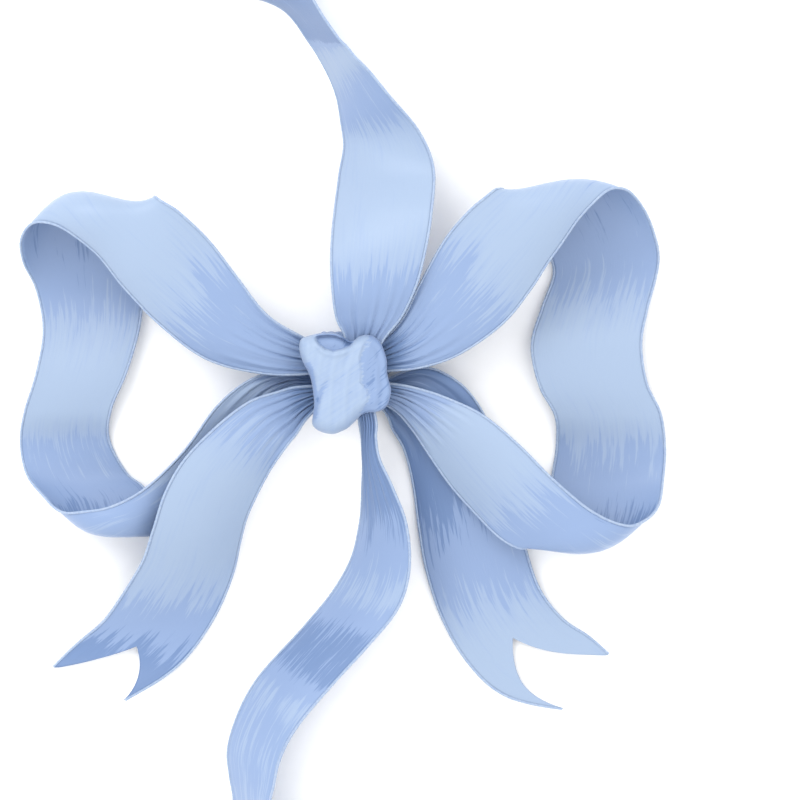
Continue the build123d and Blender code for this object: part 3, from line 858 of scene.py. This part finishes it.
def rounded_ring(low_y, high_y, low_z, high_z, radius, count):
    """Points and outward directions round an upright rounded rectangle, evenly spread."""
    points, directions = [], []
    corners = [(high_y - radius, high_z - radius, 0), (low_y + radius, high_z - radius, 90),
               (low_y + radius, low_z + radius, 180), (high_y - radius, low_z + radius, 270)]
    for y, z, start in corners:
        for step in range(13):
            angle = math.radians(start + step * 7.5)
            directions.append((math.cos(angle), math.sin(angle)))
            points.append((y + radius * math.cos(angle), z + radius * math.sin(angle)))
    points, directions = np.array(points + points[:1]), np.array(directions + directions[:1])
    along = np.concatenate([[0], np.cumsum(np.linalg.norm(np.diff(points, axis=0), axis=1))])
    even = np.arange(count) / count * along[-1]
    spread = [np.interp(even, along, column) for column in (*points.T, *directions.T)]
    return np.stack(spread[:2], -1), np.stack(spread[2:], -1), even


def make_band():
    low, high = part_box("knot_band")
    (x0, y0, z0), (x1, y1, z1) = [[c / MM for c in corner] for corner in (low, high)]
    ring, direction, along = rounded_ring(y0, y1, z0, z1, 5.5, BAND_ROUND)
    x_out = np.linspace(x0, x1, BAND_ALONG)
    x = np.concatenate([x_out, x_out[::-1]])
    crease = 0.45 - 0.45 * np.abs(np.sin(x_out * 1.05 + 0.4)) ** 0.6
    crease += 0.9 * ease((np.abs(x_out) - 7.6) / 1.9)
    depth = np.concatenate([crease, np.full(BAND_ALONG, 1.05)])
    depth[0] = depth[BAND_ALONG - 1] = 0.95
    grid = np.empty((BAND_ROUND, 2 * BAND_ALONG, 3))
    grid[..., 0] = x
    grid[..., 1] = ring[:, None, 0] - direction[:, None, 0] * depth
    grid[..., 2] = ring[:, None, 1] - direction[:, None, 1] * depth
    piece = mesh_object("knot_band_satin", grid.reshape(-1, 3),
                        grid_faces(BAND_ROUND, 2 * BAND_ALONG, close_rows=True, close_columns=True))
    # Painted shade: the band under the knot is dark all over and darker still in its creases.
    painted_shading = 0.28 - 0.2 * np.tile(depth, (BAND_ROUND, 1))
    paint_shading(piece, painted_shading.ravel())
    round_it = np.tile(along[:, None], (1, 2 * BAND_ALONG))
    lay_out_flat(piece, np.stack([grid[..., 0] + 20, round_it], -1).reshape(-1, 2))
    piece.data.materials.append(blue_satin)
    point_outwards(piece)
    return piece


knot_band_satin = make_band()
print(knot_band_satin.name, len(knot_band_satin.data.polygons), "faces")


# %% Make the gathers in the waist
def make_waist():
    low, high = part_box("gathered_waist")
    (x0, y0, z0), (x1, y1, z1) = [[c / MM for c in corner] for corner in (low, high)]
    ring, direction, along = rounded_ring(y0, y1, z0, z1, 4.5, WAIST_ROUND)
    folds = 0.55 * (1 - np.abs(np.sin(np.arange(WAIST_ROUND) / WAIST_ROUND * np.pi * 24)) ** 0.7)
    x = np.concatenate([[x0 + 0.1], np.linspace(x0, x1, 21), [x1 - 0.1]])
    inward = np.zeros(len(x))
    inward[0] = inward[-1] = 1.2
    grid = np.empty((len(x), WAIST_ROUND, 3))
    grid[..., 0] = x[:, None]
    for axis in (0, 1):
        depth = folds[None] + inward[:, None]
        grid[..., axis + 1] = ring[None, :, axis] - direction[None, :, axis] * depth
    points = grid.reshape(-1, 3)
    faces = grid_faces(len(x), WAIST_ROUND, close_columns=True)
    middle = [(x0 + 0.1, (y0 + y1) / 2, (z0 + z1) / 2), (x1 - 0.1, (y0 + y1) / 2, (z0 + z1) / 2)]
    count, last = len(points), (len(x) - 1) * WAIST_ROUND
    for step in range(WAIST_ROUND):
        following = (step + 1) % WAIST_ROUND
        faces.append([count, following, step])
        faces.append([count + 1, last + step, last + following])
    piece = mesh_object("waist_gathers_satin", np.concatenate([points, middle]), faces)
    # Painted shade: the gathers inside the band are dark all over.
    paint_shading(piece, np.full(count + 2, 0.2))
    flat = np.stack([np.tile(along, (len(x), 1)), np.tile(x[:, None] + 20, (1, WAIST_ROUND))], -1)
    lay_out_flat(piece, np.concatenate([flat.reshape(-1, 2), [[0, 0], [0, 0]]]))
    piece.data.materials.append(blue_satin)
    point_outwards(piece)
    return piece


waist_gathers_satin = make_waist()
print(waist_gathers_satin.name, len(waist_gathers_satin.data.polygons), "faces")


# %% [markdown]
# ## The twist tie
#
# The bow is fixed to the gift with a twist tie: a soft steel wire in a flat sleeve of clear blue
# plastic. Its shape is right in the frame, so its pieces stay and only get their finishes. The
# sleeve was extruded, so it is smooth and slightly wavy along its length, and the wire was drawn.

# %% Finishes for the sleeve and the wire
tie_sleeve, tree, shader = new_material("extruded_pvc_sleeve")
place = add_node(tree, "ShaderNodeTexCoord")
waves = add_node(tree, "ShaderNodeTexNoise", Vector=place.outputs["Object"], Scale=260.0, Detail=2.0)
ramp = add_node(tree, "ShaderNodeValToRGB", Fac=waves.outputs["Fac"])
ramp.color_ramp.elements[0].position = 0.35
ramp.color_ramp.elements[0].color = linear("#8fa9d6", DYE)
ramp.color_ramp.elements[1].position = 0.65
ramp.color_ramp.elements[1].color = linear("#a9bfe4", DYE)
tree.links.new(ramp.outputs["Color"], shader.inputs["Base Color"])
bump = add_node(tree, "ShaderNodeBump", Strength=0.25, Distance=0.15 * MM, Height=waves.outputs["Fac"])
tree.links.new(bump.outputs["Normal"], shader.inputs["Normal"])
shader.inputs["Roughness"].default_value = 0.28
shader.inputs["IOR"].default_value = 1.53

drawn_wire, tree, shader = new_material("drawn_steel_wire")
place = add_node(tree, "ShaderNodeTexCoord")
scratches = add_node(tree, "ShaderNodeTexNoise", Vector=place.outputs["Object"], Scale=1500.0)
rough = add_node(tree, "ShaderNodeMapRange", Value=scratches.outputs["Fac"], To_Min=0.25, To_Max=0.45)
tree.links.new(rough.outputs[0], shader.inputs["Roughness"])
shader.inputs["Base Color"].default_value = linear("#b9bcc2")
shader.inputs["Metallic"].default_value = 1.0

for node_name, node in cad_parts.items():
    if node_name.startswith("twist_tie"):
        finish = drawn_wire if node_name.endswith("wire") else tie_sleeve
        for material_slot in node.material_slots:
            material_slot.material = finish
        print(node_name, len(node.material_slots), "slot ->", finish.name)


# %% [markdown]
# ## What rides on what
#
# The loops and the knot are one body. Each tail and streamer is left where it lies and fixed to no
# body; an upright pin at each root is listed, but nothing turns or bends there.

# %% Fix the loops and the knot to the bow, and hide the frame's soft parts
hinges = {
    "left_tail": ((-13.2, -6.4, 15.8), (-23.5, -13.0, 15.8)),
    "right_tail": ((12.4, -3.9, 5.2), (24.0, -7.5, 5.2)),
    "upper_streamer": ((6.9, 13.0, 19.7), (8.8, 24.5, 19.7)),
    "lower_streamer": ((8.0, -11.5, 19.7), (9.0, -22.0, 19.7)),
}


for ribbon_name, piece in cloth_pieces.items():
    hems = hem_pieces[ribbon_name]
    shape = ribbon_shapes[ribbon_name]
    wires = [f"{ribbon_name}_first_edge_wire", f"{ribbon_name}_second_edge_wire"]
    if ribbon_name in hinges:
        for part in (piece, hems):
            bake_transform(part)
        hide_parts(ribbon_name, f"{ribbon_name}_neck")
    else:
        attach(piece, "bow")
        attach(hems, "bow")
        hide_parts(ribbon_name)
    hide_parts(*wires)

for piece, node_name in ((knot_front_satin, "knot_front"), (knot_band_satin, "knot_band"),
                         (waist_gathers_satin, "gathered_waist")):
    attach(piece, "bow")
    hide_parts(node_name)
